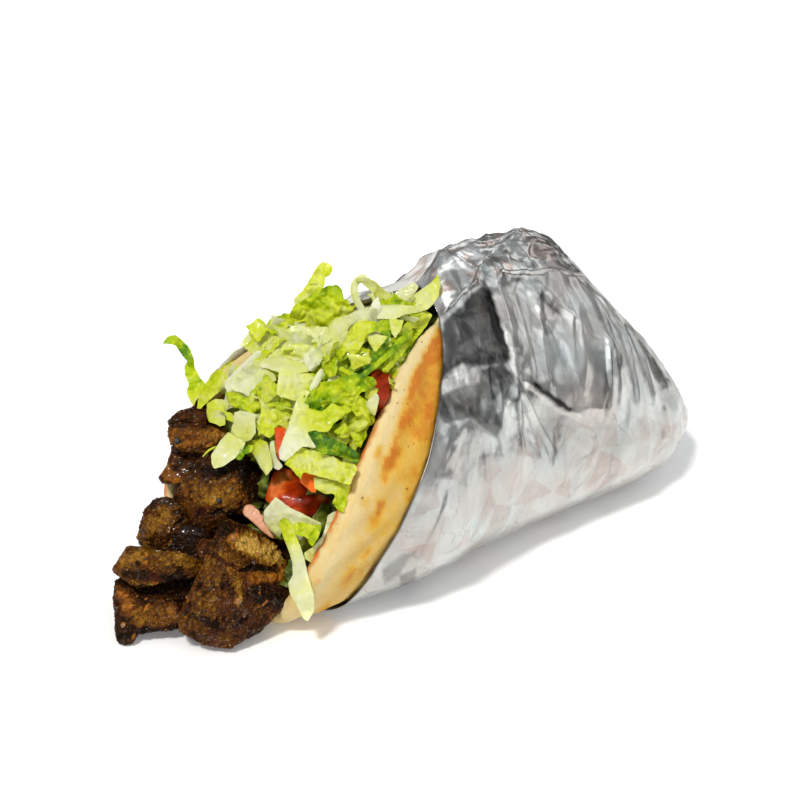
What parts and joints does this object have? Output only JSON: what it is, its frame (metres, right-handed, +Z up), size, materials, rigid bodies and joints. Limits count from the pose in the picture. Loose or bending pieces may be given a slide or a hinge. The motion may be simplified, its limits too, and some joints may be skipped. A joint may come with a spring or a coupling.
{
  "type": "gyro wrap",
  "caption": "Gyro wrap: a folded pita filled with browned meat, shredded lettuce and tomato, open at the mouth and wrapped in crumpled foil behind.",
  "frame": {"origin": "under the middle of the wrap's outline, on the surface it lies on", "axes": "+X along the wrap from the open mouth to the closed foil tail, -Y towards the near flap of the bread, +Z up"},
  "size_m": [0.2512, 0.0976, 0.108],
  "materials": {
    "foil": "thin household foil, bright side out, crumpled and creased",
    "pita": "soft griddled flatbread, cream with golden brown patches and small dark specks",
    "meat": "browned gyro meat, coarse and granular, moist with fat, crisp orange-brown edges",
    "tomato": "wet sliced tomato, red, slightly translucent",
    "lettuce": "shredded iceberg lettuce, pale yellow-green with whitish translucent ribs"
  },
  "bodies": {
    "root": {"foil": "foil", "pita": "pita", "lettuce": "lettuce", "meat_bed": "meat", "meat_front": "meat", "meat_corner": "meat", "meat_slab": "meat", "meat_left": "meat", "meat_middle": "meat", "meat_under": "meat", "meat_upper": "meat", "meat_top": "meat", "tomato_slice": "tomato", "tomato_strip": "tomato", "tomato_edge": "tomato", "tomato_pale": "tomato"}
  },
  "joints": []
}
